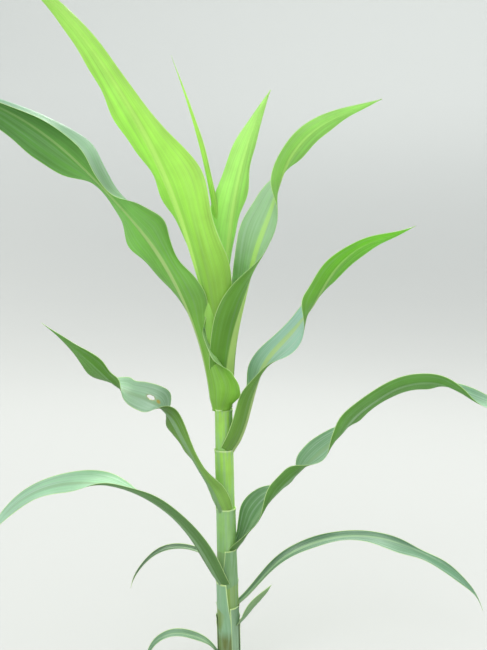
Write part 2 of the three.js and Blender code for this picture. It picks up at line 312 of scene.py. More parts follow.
def walk_midrib(leaf, t):
    """Places and directions along the midrib at each t: place, near and up, each with a row for each t."""
    side = leaf["side"]
    steps = np.arange(WALK_STEPS + 1) / WALK_STEPS
    lift, front, face = (np.radians(along(leaf[key], steps)) for key in ("lift", "front", "face"))
    outward = np.stack([side * np.cos(front), -np.sin(front), 0 * steps], axis=-1)
    level = np.stack([-side * np.sin(front), -np.cos(front), 0 * steps], axis=-1)
    upward = np.array([0, 0, 1])
    ahead = outward * np.cos(lift)[:, None] + upward * np.sin(lift)[:, None]
    upright = upward * np.cos(lift)[:, None] - outward * np.sin(lift)[:, None]
    near = level * np.cos(face)[:, None] - upright * np.sin(face)[:, None]
    up = upright * np.cos(face)[:, None] + level * np.sin(face)[:, None]
    collar = stalk_centre(np.array(float(leaf["collar"]))) + hug_radius(leaf) * outward[0]
    walked = np.cumsum(ahead[:-1], axis=0) * leaf["length"] / WALK_STEPS
    place = collar + np.vstack([np.zeros(3), walked])
    before_collar = np.minimum(t, 0)[:, None] * leaf["length"] * ahead[0]
    near, up = (unit(read_rows(t, steps, rows)) for rows in (near, up))
    return read_rows(t, steps, place) + before_collar, near, up


reach = walk_midrib(LEAVES["leaf_11"], np.array([1.0]))[0][0]
print("tip of leaf_11 at", reach.round(), "mm")

# %% [markdown]
# ## A blade
# A blade is a thin sheet, so it starts as a flat grid, long and narrow in its own map. Each of its points is
# then moved to its place on the plant by the growth rule. The grid's lines are closer together at the midrib
# and at the margins, where there is more to show.

# %% Blade grid
MM = 0.001
WIDE_BLADE = 36.0
WIDE_COLUMNS = 80
NARROW_COLUMNS = 40
ROW_SPACING = 2.4
CROWDING = 0.4
ROOT_LENGTH = 3.0


def blade_lines(leaf):
    """Where the grid's columns lie across the blade, from -1 to 1, and its rows along it, to 1 at the tip."""
    columns = WIDE_COLUMNS if leaf["width"] > WIDE_BLADE else NARROW_COLUMNS
    rows = round((leaf["length"] + ROOT_LENGTH) / leaf.get("row_spacing", ROW_SPACING))
    even = np.linspace(-1, 1, columns + 1)
    across = even - CROWDING * np.sin(2 * math.pi * even) / (2 * math.pi)
    return across, np.linspace(-ROOT_LENGTH / leaf["length"], 1, rows + 1)


def flat_grid(name, columns, rows):
    """A grid of unit size, the only thing selected, and the column and the row of each of its points."""
    bpy.ops.object.select_all(action="DESELECT")
    bpy.ops.mesh.primitive_grid_add(x_subdivisions=columns, y_subdivisions=rows, size=1, calc_uvs=True)
    piece = bpy.context.object
    piece.name = name
    piece.data.name = name
    flat = np.empty(len(piece.data.vertices) * 3)
    piece.data.vertices.foreach_get("co", flat)
    flat = flat.reshape(-1, 3)
    column = np.rint((flat[:, 0] + 0.5) * columns).astype(int)
    row = np.rint((flat[:, 1] + 0.5) * rows).astype(int)
    return piece, column, row


def place_grid(piece, column, row, places, across, t):
    """Moves each point to its place in millimetres, and maps it by across and t."""
    mesh = piece.data
    mesh.vertices.foreach_set("co", (places[row, column] * MM).ravel())
    map_corners(mesh, np.stack([(across[column] + 1) / 2, t[row]], axis=-1))
    mesh.update()


def map_corners(mesh, mapped):
    """Gives the corners of all faces the place in the map that their point has."""
    corners = np.empty(len(mesh.loops), int)
    mesh.loops.foreach_get("vertex_index", corners)
    mesh.uv_layers.active.data.foreach_set("uv", mapped[corners].ravel())


def write_values(piece, name, values):
    """Keeps a number at each point of the mesh, for the finish to read."""
    kept = piece.data.attributes.new(name, "FLOAT", "POINT")
    kept.data.foreach_set("value", np.ascontiguousarray(values, dtype=np.float32))


print("columns and rows of leaf_11:", [len(lines) - 1 for lines in blade_lines(LEAVES["leaf_11"])])

# %% [markdown]
# ### Midrib and veins
# The midrib is a pale band, a few millimetres wide at the collar and a thread at the tip. It is a keel on the
# underside and a little sunken on the upper side. Its width doesn't follow the blade's, so distances from it
# are measured over the surface. The veins are low ridges, one to every few columns of the grid.

# %% Midrib and veins
RIB_SHARE = 0.085
RIB_TAPER = 0.8
RIB_THREAD = 0.6
BAND_SHIFT_FADES = (0.1, 0.45)
KEEL_THICKNESS = 3.4
KEEL_BLADE_WIDTH = 80
LEAST_KEEL = 1.1
KEEL_TAPER = 0.9
KEEL_NARROWING = 0.7
VEIN_COLUMNS = 4


def margin_widths(leaf, across, t):
    """How much wider or narrower than its plain shape each half of the blade is."""
    near, far = (along(leaf.get(key, [1, 1]), t)[:, None] for key in ("near", "far"))
    return np.where(across > 0, near, far)


def column_steps(leaf, across, t):
    """The distance over the surface from each column to the next."""
    widths = margin_widths(leaf, across, t)
    return np.diff(across) * half_width(leaf, t)[:, None] * (widths[:, 1:] + widths[:, :-1]) / 2


def over_surface(leaf, across, t):
    """The distance of each point from the midrib, less than 0 on the far half, and from its own margin."""
    steps = column_steps(leaf, across, t)
    place = np.hstack([np.zeros((len(t), 1)), np.cumsum(steps, axis=1)])
    rib = place[:, len(across) // 2][:, None]
    return place - rib, np.where(across > 0, place[:, -1:] - place, place)


def from_pale_band(leaf, from_rib, t):
    """The distance from the middle of the midrib's pale band, as a share of the band's own half width."""
    half = leaf.get("band", RIB_SHARE * leaf["width"]) * (1 - np.clip(t, 0, 1)) ** RIB_TAPER + RIB_THREAD
    shift = leaf.get("band_shift", 0) * (1 - smooth(t, *BAND_SHIFT_FADES))
    return np.abs(from_rib - shift[:, None]) / half[:, None]


def keel(leaf, from_rib, t):
    """The keel's thickness at each point."""
    left = 1 - np.clip(t, 0, 1)
    thickest = max(LEAST_KEEL, KEEL_THICKNESS * leaf["width"] / KEEL_BLADE_WIDTH) * left**KEEL_TAPER
    reach = KEEL_NARROWING * (RIB_SHARE * leaf["width"] * left**RIB_TAPER + RIB_THREAD)
    return thickest[:, None] * np.exp(-((from_rib / reach[:, None]) ** 2))


def veins(columns):
    """1 on a main vein, 0 midway between two of them, for each of the grid's columns."""
    column = np.arange(columns + 1) - columns // 2
    return 0.5 + 0.5 * np.cos(2 * math.pi * column / VEIN_COLUMNS)


thickest_keel = keel(LEAVES["leaf_11"], np.zeros((1, 1)), np.zeros(1))[0, 0]
print("keel of leaf_11 at its collar:", round(float(thickest_keel), 1), "mm")

# %% [markdown]
# ### Waves of the margins
# The margins of a maize blade grow longer than its middle, so they buckle into waves. Each margin has two
# waves of different lengths, so that they never repeat and the two margins don't swing together.

# %% Waves of the margins
WAVE_LENGTH = 135.0
WAVE_SHARE = 0.026
WAVES_RISE = (0.12, 0.3)
WAVES_FADE = (0.8, 1)
WAVES_TO_MARGIN = 2.4
SMALL_WAVE = 0.6
PHASE_BY_HEIGHT = 0.37
NEAR_WAVES = ((1.0, 1), (1.73, 2))
FAR_WAVES = ((1.21, 3), (2.1, 1))


def two_waves(lengthwise, phase, waves):
    """A large and a small wave, each given by how often it swings and how many phases it is ahead."""
    large, small = (np.sin(often * lengthwise + phases * phase) for often, phases in waves)
    return large + SMALL_WAVE * small


def margin_waves(leaf, across, t):
    """The height of the waves: none at the midrib, most at the margins."""
    lengthwise = 2 * math.pi * t * leaf["length"] / WAVE_LENGTH
    lasting = smooth(t, *WAVES_RISE) * (1 - smooth(t, *WAVES_FADE)) * WAVE_SHARE * leaf["width"]
    phase = leaf["collar"] * PHASE_BY_HEIGHT
    near, far = (two_waves(lengthwise, phase, waves)[:, None] for waves in (NEAR_WAVES, FAR_WAVES))
    return np.where(across > 0, near, far) * lasting[:, None] * np.abs(across) ** WAVES_TO_MARGIN


highest = np.abs(margin_waves(LEAVES["leaf_11"], np.array([-1.0, 1.0]), np.linspace(0, 1, 200))).max()
print("highest wave of leaf_11:", round(float(highest), 1), "mm")

# %% [markdown]
# ### From the flat grid to the plant
# Across the blade, a row of points is laid out from the midrib to both margins, turning a little at each
# step. That gives the gutter, and a margin that is rolled over only turns more. The keel, the veins and the
# waves are then added square to that surface.

# %% Shape of a blade
ROLL_FULL_FROM = 0.45
KEEL_DROP = 0.55
VEIN_HEIGHT = 0.09
VEIN_FREE_MARGIN = 4.0
VEINS_FADE = (0.7, 1)
ROOT_BLEND = 16.0
ROOT_SINK = 0.5


def turns(leaf, across, t):
    """How far the blade has turned at each point, in radians, from its middle at the midrib."""
    turn = across * gutter(leaf, t)[:, None] / 2
    for roll in leaf.get("rolls", ()):
        rolled = smooth(roll["side"] * across, 1 - roll["share"], 1 - roll["share"] * ROLL_FULL_FROM)
        lasting = smooth(t, roll["start"], roll["full"]) * (1 - smooth(t, roll["fades"], roll["end"]))
        turn = turn + roll["side"] * math.radians(roll["turn"]) * rolled * lasting[:, None]
    return turn


def surface_height(leaf, across, t):
    """How far the waves, the keel and the veins lift each point off the plain surface."""
    from_rib, from_margin = over_surface(leaf, across, t)
    ridges = veins(len(across) - 1) * smooth(from_margin, 0, VEIN_FREE_MARGIN)
    ridges = ridges * (1 - smooth(t, *VEINS_FADE))[:, None]
    return margin_waves(leaf, across, t) - KEEL_DROP * keel(leaf, from_rib, t) - VEIN_HEIGHT * ridges


def blade_places(leaf, across, t):
    """A place in millimetres for each row of t and column of across."""
    turn = turns(leaf, across, t)
    steps = column_steps(leaf, across, t)
    middle_turn = (turn[:, 1:] + turn[:, :-1]) / 2
    none = np.zeros((len(t), 1))
    sideways = np.hstack([none, np.cumsum(np.cos(middle_turn) * steps, axis=1)])
    upward = np.hstack([none, np.cumsum(np.sin(middle_turn) * steps, axis=1)])
    rib = len(across) // 2
    height = surface_height(leaf, across, t)
    sideways = sideways - sideways[:, rib : rib + 1] - height * np.sin(turn)
    upward = upward - upward[:, rib : rib + 1] + height * np.cos(turn)
    place, near, up = walk_midrib(leaf, t)
    return place[:, None] + near[:, None] * sideways[..., None] + up[:, None] * upward[..., None]


def seat_on_stalk(leaf, places, t):
    """Draws the root of the blade in to the sheath, so that it grows out of the collar without a step."""
    away = places - stalk_centre(places[..., 2])
    distance = np.maximum(np.linalg.norm(away[..., :2], axis=-1), 1e-6)
    share = 1 - smooth(t * leaf["length"], 0, ROOT_BLEND)
    drawn = share[:, None] * (hug_radius(leaf) - leaf["radius"] + ROOT_SINK)
    return places - away * np.array([1, 1, 0]) * (drawn / distance)[..., None]


collar_row = blade_places(LEAVES["leaf_11"], np.linspace(-1, 1, 81), np.array([0.0, 0.5]))[0]
print("leaf_11 at its collar, left to right:", np.ptp(collar_row[:, 0]).round(1), "mm")

# %% [markdown]
# ## Finishes
# The upper side of a maize blade is blue-green with a silvery bloom, and the underside is a brighter,
# yellower green. Both have a pale midrib, fine veins and a thin pale margin. Painting them by hand would fit
# one leaf only, so they are built from patterns. First come a few helpers that each add one node and return
# what it gives.

# %% Nodes
def linear(red, green, blue):
    """A colour given as it looks on a screen, from 0 to 255, as the linear colour that a shader wants."""
    shares = [value / 255 for value in (red, green, blue)]
    return tuple(s / 12.92 if s <= 0.04045 else ((s + 0.055) / 1.055) ** 2.4 for s in shares) + (1.0,)


def new_material(name):
    """An empty material, its node tree and its output."""
    material = bpy.data.materials.new(name)
    material.use_nodes = True
    tree = material.node_tree
    tree.nodes.clear()
    return material, tree, tree.nodes.new("ShaderNodeOutputMaterial")


def give(tree, socket, value):
    """Gives a socket a plain value, or links what another node gives to it."""
    if isinstance(value, bpy.types.NodeSocket):
        tree.links.new(value, socket)
    else:
        socket.default_value = value


def add(tree, kind, inputs):
    """Adds a node of one kind and gives its inputs, known by name or number."""
    node = tree.nodes.new("ShaderNode" + kind)
    for key, value in inputs.items():
        give(tree, node.inputs[key], value)
    return node


def math_node(tree, operation, *values):
    node = add(tree, "Math", dict(enumerate(values)))
    node.operation = operation
    return node.outputs[0]


def mix_colours(tree, share, first, second, blend="MIX"):
    """A Mix node's inputs 0, 6 and 7 are its share and two colours, and its output 2 is their mix."""
    node = add(tree, "Mix", {0: share, 6: first, 7: second})
    node.data_type = "RGBA"
    node.blend_type = blend
    return node.outputs[2]


def ramp(tree, value, stops):
    """A Color Ramp over stops of (position, colour)."""
    node = add(tree, "ValToRGB", {0: value})
    elements = node.color_ramp.elements
    while len(elements) < len(stops):
        elements.new(0.5)
    for element, (position, colour) in zip(elements, stops):
        element.position = position
        element.color = colour
    return node.outputs[0]


def step_between(tree, value, start, end, most=1.0):
    """A Map Range that goes smoothly from 0 at start to the most at end."""
    node = add(tree, "MapRange", {"Value": value, "From Min": start, "From Max": end, "To Max": most})
    node.interpolation_type = "SMOOTHSTEP"
    return node.outputs[0]


def shaded(tree, colour, light):
    """The colour made lighter or darker by a number about 1."""
    tone = add(tree, "CombineColor", {0: light, 1: light, 2: light})
    return mix_colours(tree, 1.0, colour, tone.outputs[0], "MULTIPLY")


print("a screen's middle grey is", round(linear(128, 128, 128)[0], 3), "in linear light")

# %% [markdown]
# ### Patterns
# A pattern that follows a piece reads the piece's own map, across in the first number and along in the
# second, or a value kept at its points. Clouds read the plant's own space, so they run on from piece to
# piece.

# %% Patterns
RELIEF_HEIGHT = 0.4 * MM


def noise_at(tree, place, scale, detail):
    return add(tree, "TexNoise", {"Vector": place, "Scale": scale, "Detail": detail}).outputs[0]


def stretched_noise(tree, place, grains, detail=2.0):
    """Noise drawn out along the piece: how many grains it has across and along."""
    stretched = add(tree, "Mapping", {"Vector": place, "Scale": (*grains, 1.0)})
    return noise_at(tree, stretched.outputs[0], 1.0, detail)


def cloud_noise(tree, scale, detail=2.0):
    return noise_at(tree, add(tree, "TexCoord", {}).outputs["Object"], scale, detail)


def kept_value(tree, name):
    """A number that the mesh keeps at its points."""
    node = add(tree, "Attribute", {})
    node.attribute_name = name
    return node.outputs["Fac"]


def map_parts(tree):
    """The piece's own map, and its two numbers apart."""
    place = add(tree, "UVMap", {})
    place.uv_map = "UVMap"
    parts = add(tree, "SeparateXYZ", {0: place.outputs[0]})
    return place.outputs[0], parts.outputs[0], parts.outputs[1]


def satin(tree, colour, height, strength, roughness, specular):
    """A satin surface with a fine relief."""
    relief = add(tree, "Bump", {"Height": height, "Strength": strength, "Distance": RELIEF_HEIGHT})
    surface = add(tree, "BsdfPrincipled", {
        "Base Color": colour,
        "Roughness": roughness,
        "Specular IOR Level": specular,
        "Normal": relief.outputs[0],
    })
    return surface.outputs[0]


print("relief up to", RELIEF_HEIGHT / MM, "mm high")

# %% [markdown]
# ### The finish of a blade
# The colours run from the collar to the tip, with painted light and shade in them. Over them lie bands, fine
# streaks, clouds and pale silvery patches, partly the bloom and partly painted sheen, then the midrib, the
# margin, partly painted highlight, and any withered spot. Some light passes through a blade, so part of its
# surface is translucent.

# %% Finish of a blade
RIB_PALE = linear(190, 216, 142)
MARGIN_PALE_AND_HIGHLIGHT = linear(210, 238, 165)
BLOOM_AND_SHEEN_PALE = linear(205, 226, 212)
SCAR_BROWN = linear(196, 176, 92)
TINT_ENDS = (0.04, 0.96)
PLAIN_LIGHT = 0.43
BAND_GRAINS = (8.0, 2.2)
FINE_GRAINS = (90.0, 7.0)
BLOOM_AND_SHEEN_GRAINS = (17.0, 3.4)
CLOUD_SCALE = 26.0
FINE_LINES = 60
LINE_RELIEF = 0.35


def blade_finish(name, tints, bloom_and_sheen_share, glow, roughness, rib):
    """The finish of one side of a blade. tints: colours from collar to tip, with painted light and shade."""
    material, tree, output = new_material(name)
    place, across, along_blade = map_parts(tree)
    stops = [float(stop) for stop in np.linspace(*TINT_ENDS, len(tints))]
    # Colours from the collar to the tip, with painted light and shade: brighter where light comes through,
    # darker in shade.
    colour = ramp(tree, along_blade, list(zip(stops, tints)))

    lines = math_node(tree, "COSINE", math_node(tree, "MULTIPLY", across, FINE_LINES * 2 * math.pi))
    fine = stretched_noise(tree, place, FINE_GRAINS, 3.0)
    bands = stretched_noise(tree, place, BAND_GRAINS)
    clouds = cloud_noise(tree, CLOUD_SCALE, 3.0)
    light = PLAIN_LIGHT
    for pattern, weight in ((bands, 0.5), (fine, 0.3), (clouds, 0.35), (lines, 0.02)):
        light = math_node(tree, "MULTIPLY_ADD", pattern, weight, light)
    light = math_node(tree, "MULTIPLY_ADD", kept_value(tree, "vein"), 0.06, light)
    colour = shaded(tree, colour, light)

    # Pale silvery patches: partly the waxy bloom, partly painted sheen where the upper side catches the sky.
    bloom_and_sheen = step_between(tree, stretched_noise(tree, place, BLOOM_AND_SHEEN_GRAINS, 4.0), 0.42, 0.72, bloom_and_sheen_share)
    colour = mix_colours(tree, bloom_and_sheen, colour, BLOOM_AND_SHEEN_PALE)
    on_rib = step_between(tree, kept_value(tree, "rib"), 1.15, 0.7)
    rib_left = step_between(tree, along_blade, 1.05, 0.3, 0.85)
    colour = mix_colours(tree, math_node(tree, "MULTIPLY", on_rib, rib_left), colour, rib)
    # The thin pale margin: partly the margin's own colour, partly painted highlight where light catches the
    # edge.
    on_margin = step_between(tree, kept_value(tree, "edge"), 1.1, 0.5, 0.8)
    colour = mix_colours(tree, on_margin, colour, MARGIN_PALE_AND_HIGHLIGHT)
    colour = mix_colours(tree, kept_value(tree, "scar"), colour, SCAR_BROWN)

    height = math_node(tree, "MULTIPLY_ADD", lines, LINE_RELIEF, fine)
    surface = satin(tree, colour, height, 0.5, roughness, 0.5)
    through = add(tree, "BsdfTranslucent", {"Color": colour})
    blend = add(tree, "MixShader", {0: glow, 1: surface, 2: through.outputs[0]})
    tree.links.new(blend.outputs[0], output.inputs[0])
    return material


print("fine lines across a blade:", FINE_LINES)

# %% [markdown]
# ### Colours by leaf
# The young leaves of the whorl are thin and yellow-green, and the light comes through them. The older leaves
# below are thicker and bluer. Along each blade the colours also hold painted light and shade: brighter where
# light comes through it or catches the sheen, darker where it lies in shade. For each leaf: the upper side's
# colours from the collar to the tip, the underside's, how much light passes, how much silvery bloom and
# painted sheen is on the upper side, and the midrib's colour.

# %% Colours
YOUNG_RIB = linear(208, 240, 140)
OLD_RIB = linear(148, 184, 138)

COLOURS = {
    "leaf_01": (((100, 142, 98), (108, 152, 116)), ((92, 132, 84), (98, 140, 94)), 0.2, 0.3, OLD_RIB),
    "leaf_02": (((104, 148, 98), (120, 160, 104)), ((134, 174, 122), (146, 184, 124)), 0.2, 0.2, OLD_RIB),
    "leaf_03": (((66, 100, 58), (68, 104, 66)), ((78, 114, 68), (88, 126, 82)), 0.2, 0.1, OLD_RIB),
    "leaf_04": (
        ((84, 126, 80), (89, 135, 98), (98, 144, 110)),
        ((88, 128, 76), (94, 136, 88)), 0.25, 0.35, OLD_RIB,
    ),
    "leaf_05": (
        ((110, 156, 102), (152, 202, 156), (188, 230, 200)),
        ((100, 146, 74), (96, 148, 80)), 0.25, 0.5, OLD_RIB,
    ),
    "leaf_06": (
        ((104, 150, 90), (146, 190, 152), (146, 190, 156)),
        ((96, 148, 62), (100, 160, 58), (106, 168, 74)), 0.25, 0.5, OLD_RIB,
    ),
    "leaf_07": (
        ((112, 164, 100), (160, 198, 164), (126, 176, 116)),
        ((156, 206, 94), (78, 124, 36), (102, 168, 54)), 0.25, 0.5, OLD_RIB,
    ),
    "leaf_08": (
        ((112, 160, 86), (172, 215, 200), (172, 216, 196)),
        ((116, 164, 62), (104, 163, 50), (132, 224, 40)), 0.25, 0.5, RIB_PALE,
    ),
    "leaf_09": (
        ((140, 190, 90), (170, 212, 184)),
        ((142, 200, 68), (122, 180, 74), (137, 207, 89), (100, 158, 72), (74, 124, 55)), 0.3, 0.5, RIB_PALE,
    ),
    "leaf_10": (
        ((150, 196, 96), (176, 212, 170), (176, 214, 170)),
        ((95, 152, 38), (124, 186, 66), (182, 246, 122)), 0.3, 0.5, YOUNG_RIB,
    ),
    "leaf_11": (
        ((170, 216, 96), (160, 218, 110)),
        ((122, 172, 58), (186, 238, 100), (196, 243, 124)), 0.35, 0.3, YOUNG_RIB,
    ),
    "leaf_12": (
        ((170, 216, 96), (160, 218, 110)),
        ((134, 190, 58), (186, 241, 122), (198, 247, 138)), 0.35, 0.3, YOUNG_RIB,
    ),
    "leaf_13": (((170, 216, 96), (160, 218, 110)), ((150, 210, 78), (204, 250, 116)), 0.35, 0.3, YOUNG_RIB),
}
print("leaves with colours:", len(COLOURS))

# %% [markdown]
# ## The hole
# One blade has been eaten through beside its midrib, with a withered spot next to the hole. A boolean would
# leave a ragged rim in so thin a sheet, so the grid's points inside the hole are deleted, and those next to
# it are drawn to its rim.

# %% Hole and withered spot
SCAR_FADES = (0.9, 1.5)
RIM_REACH = 1.3


def from_spot(leaf, spot, from_rib, t):
    """How far each point is from the middle of a spot, as a share of the spot's own reach."""
    lengthwise = (t[:, None] - spot["t"]) * leaf["length"] / (spot["long"] / 2)
    return np.hypot(lengthwise, (from_rib - spot["from_rib"]) / (spot["wide"] / 2))


def withered(leaf, from_rib, t):
    """1 on a withered spot and round a hole, 0 elsewhere."""
    scar = np.zeros_like(from_rib)
    for spot in leaf.get("spots", ()):
        scar = np.maximum(scar, 1 - smooth(from_spot(leaf, spot, from_rib, t), *SCAR_FADES))
    return scar


def drawn_to_rim(leaf, hole, places, from_rib, t):
    """The places with the points next to the hole moved to its rim."""
    distance = from_spot(leaf, hole, from_rib, t)
    next_to_rim = (distance >= 1) & (distance < RIM_REACH)
    pull = np.where(next_to_rim, 1 - 1 / np.maximum(distance, 1), 0)
    by_length = np.gradient(places, t * leaf["length"], axis=0)
    by_width = np.gradient(places, axis=1) / np.gradient(from_rib, axis=1)[..., None]
    places = places - by_length * (pull * (t[:, None] - hole["t"]) * leaf["length"])[..., None]
    return places - by_width * (pull * (from_rib - hole["from_rib"]))[..., None]


def cut_hole(piece, inside):
    """Deletes the points that are inside the hole."""
    bpy.ops.object.mode_set(mode="EDIT")
    bpy.ops.mesh.select_mode(type="VERT")
    bpy.ops.mesh.select_all(action="DESELECT")
    bpy.ops.object.mode_set(mode="OBJECT")
    piece.data.vertices.foreach_set("select", inside)
    bpy.ops.object.mode_set(mode="EDIT")
    bpy.ops.mesh.delete(type="VERT")
    bpy.ops.object.mode_set(mode="OBJECT")


eaten = [spot for leaf in LEAVES.values() for spot in leaf.get("spots", ()) if spot["hole"]]
print("holes:", [(spot["long"], spot["wide"]) for spot in eaten], "mm")

# %% [markdown]
# ## Making the blades
# The same few steps make each blade: a flat grid, the growth rule, the hole, the two finishes and the wall.
# Left blades come out mirrored, so their normals are turned first. Solidify reads each point's thickness from
# a vertex group, and gives the underside the second material. Each blade replaces its leaf's solids.

# %% Wall
BLADE_THICKNESS = 0.45
MARGIN_THINNING = 0.4
THICKEST = BLADE_THICKNESS + KEEL_THICKNESS


def edit_all():
    """Goes into edit mode with the whole piece selected."""
    bpy.ops.object.mode_set(mode="EDIT")
    bpy.ops.mesh.select_all(action="SELECT")


def turn_normals():
    edit_all()
    bpy.ops.mesh.flip_normals()
    bpy.ops.object.mode_set(mode="OBJECT")


def keep_thickness(piece, thickness):
    """Writes each point's thickness to a vertex group, as a share of the thickest."""
    group = piece.vertex_groups.new(name="thickness")
    for index, share in enumerate(np.clip(thickness / THICKEST, 0, 1)):
        group.add([index], float(share), "REPLACE")


def solidify(piece, thickness, offset, group="", other_side=0):
    """Gives a sheet its wall, and rounds its shading."""
    bpy.ops.object.modifier_add(type="SOLIDIFY")
    wall = piece.modifiers[-1]
    wall.thickness = thickness * MM
    wall.offset = offset
    wall.vertex_group = group
    wall.material_offset = other_side
    bpy.ops.object.modifier_apply(modifier=wall.name)
    bpy.ops.object.shade_smooth()


print("a blade is", BLADE_THICKNESS, "mm thick, and at its keel up to", THICKEST)

# %% Blades
UPPER_ROUGHNESS = 0.38
UNDER_ROUGHNESS = 0.45
# The underside has a fifth of the upper side's silvery bloom and painted sheen.
UNDER_BLOOM_AND_SHEEN = 0.2


def shape_blade(name, leaf):
    """The sheet of one blade in its place, with all that its finish reads."""
    across, t = blade_lines(leaf)
    piece, column, row = flat_grid(name + "_blade", len(across) - 1, len(t) - 1)
    from_rib, from_margin = over_surface(leaf, across, t)
    places = seat_on_stalk(leaf, blade_places(leaf, across, t), t)
    inside = np.zeros(len(column), bool)
    for spot in leaf.get("spots", ()):
        if spot["hole"]:
            places = drawn_to_rim(leaf, spot, places, from_rib, t)
            inside |= (from_spot(leaf, spot, from_rib, t) < 1)[row, column]
    place_grid(piece, column, row, places, across, np.clip(t, 0, 1))
    write_values(piece, "rib", from_pale_band(leaf, from_rib, t)[row, column])
    write_values(piece, "edge", from_margin[row, column])
    write_values(piece, "vein", veins(len(across) - 1)[column])
    write_values(piece, "scar", withered(leaf, from_rib, t)[row, column])
    thickness = BLADE_THICKNESS * (1 - MARGIN_THINNING * np.abs(across) ** 3) + keel(leaf, from_rib, t)
    keep_thickness(piece, thickness[row, column])
    if inside.any():
        cut_hole(piece, inside)
    return piece


def make_blade(name, leaf):
    piece = shape_blade(name, leaf)
    if leaf["side"] < 0:
        turn_normals()
    upper, under, glow, bloom_and_sheen_share, rib = COLOURS[name]
    upper, under = ([linear(*tint) for tint in tints] for tints in (upper, under))
    piece.data.materials.append(blade_finish(name + "_upper", upper, bloom_and_sheen_share, glow, UPPER_ROUGHNESS, rib))
    bloom_and_sheen_share = UNDER_BLOOM_AND_SHEEN * bloom_and_sheen_share
    piece.data.materials.append(blade_finish(name + "_under", under, bloom_and_sheen_share, glow, UNDER_ROUGHNESS, rib))
    solidify(piece, THICKEST, 0, "thickness", 1)
    return piece


for name, leaf in LEAVES.items():
    blade = make_blade(name, leaf)
    solids = [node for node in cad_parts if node.startswith(name)]
    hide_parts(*solids)
    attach(blade, "root")
    print(name, "stands for", solids, "with", len(blade.data.polygons), "faces")

# %% [markdown]
# ## The sheaths
# The stalk of a young maize plant is mostly sheaths, rolled one inside the other. Each one wraps the stalk
# and ends at its collar. Its two margins don't quite meet on the side away from its blade, so the next sheath
# shows there. Each one is a sheet again: a flat grid, rolled round the stalk's leaning axis.

# %% Stalk radius
SHEATH_STEP = 0.9
COLLAR_RISE = 6.0
FLARE_HEIGHT = 20.0
FLARE_RADIUS = 3.2
OPEN_SHEATHS = 9

SHEATHED = list(LEAVES.values())[:OPEN_SHEATHS]


def sheath_radius(index, z):
    """The outer radius of one sheath at each height. Its lower part goes on inside the sheath below."""
    own = SHEATHED[index]
    below = SHEATHED[index - 1] if index else dict(collar=0, radius=own["radius"] + SHEATH_STEP)
    t = np.clip((z - below["collar"]) / (own["collar"] - below["collar"]), 0, 1)
    between = (below["radius"] - SHEATH_STEP) * (1 - t) + (own["radius"] - SHEATH_STEP / 2) * t
    rim = SHEATH_STEP * np.clip(1 - (own["collar"] - z) / COLLAR_RISE, 0, 1)
    flare = FLARE_RADIUS * np.clip(1 - z / FLARE_HEIGHT, 0, 1) ** 2
    return between + rim + flare


print("stalk across at the ground:", round(2 * float(sheath_radius(0, 0.0)), 1), "mm")

# %% [markdown]
# ### Sizes and colours of the sheaths
# `margin` is the angle of the outer margin from the front, to the plant's right, read from the collar down,
# and `wrap` the angle that the sheath wraps. `low` is the height of the lower edge where it shows, and
# `brown` the share of the height up to which the sheath is brownish. The colours are those at the collar and
# above the brown.

# %% Sheath sizes
SHEATHS = (
    dict(margin=[20, 20], wrap=375, brown=0.5, top=(96, 126, 84), bottom=(110, 118, 68)),
    dict(margin=[75, 75], wrap=200, brown=0.3, top=(122, 154, 114), bottom=(116, 142, 102)),
    dict(margin=[-75, -75], wrap=200, brown=0.5, top=(100, 130, 92), bottom=(108, 122, 68)),
    dict(margin=[12, 16, 18, 18], wrap=250, low=1, brown=0.15, top=(130, 162, 128), bottom=(137, 169, 132)),
    dict(
        margin=[-4, 6, 22, 22, 18], wrap=255, low=1, brown=0.54, top=(130, 171, 131), bottom=(131, 170, 132),
    ),
    dict(margin=[-8, -20, -34, -40], wrap=255, brown=0.22, top=(122, 164, 108), bottom=(116, 152, 100)),
    dict(margin=[100, 100], wrap=375, brown=0.1, top=(146, 190, 115), bottom=(148, 196, 101)),
    dict(margin=[-100, -100], wrap=375, brown=0.1, top=(160, 210, 90), bottom=(157, 211, 95)),
    dict(margin=[115, 115], wrap=375, brown=0.1, top=(154, 204, 88), bottom=(140, 190, 80)),
)
SHEATH_HIDDEN = 40.0
LOWEST_EDGE = 0.5


def collar_below(index):
    return SHEATHED[index - 1]["collar"] if index else 0.0


def lower_edge(index):
    """The height of a sheath's lower edge. Where it isn't given, it is hidden inside the sheath below."""
    return max(LOWEST_EDGE, SHEATHS[index].get("low", collar_below(index) - SHEATH_HIDDEN))


print("sheath lengths:", [leaf["collar"] - lower_edge(index) for index, leaf in enumerate(SHEATHED)], "mm")

# %% [markdown]
# ### Shape of a sheath
# The outer margin stands a little off the sheath under it, and the part below the next collar is tucked in,
# so that no two sheaths share a surface.

# %% Sheath shape
SHEATH_COLUMNS = 192
SHEATH_ROW_SPACING = 3.0
SHEATH_THICKNESS = 0.45
SHEATH_VEIN_HEIGHT = 0.16
VEIN_FREE_SHARE = 0.04
MARGIN_LIFT = 0.55
LIFTED_SHARE = 0.3
TUCK = 0.7
TUCK_OVER = 12.0


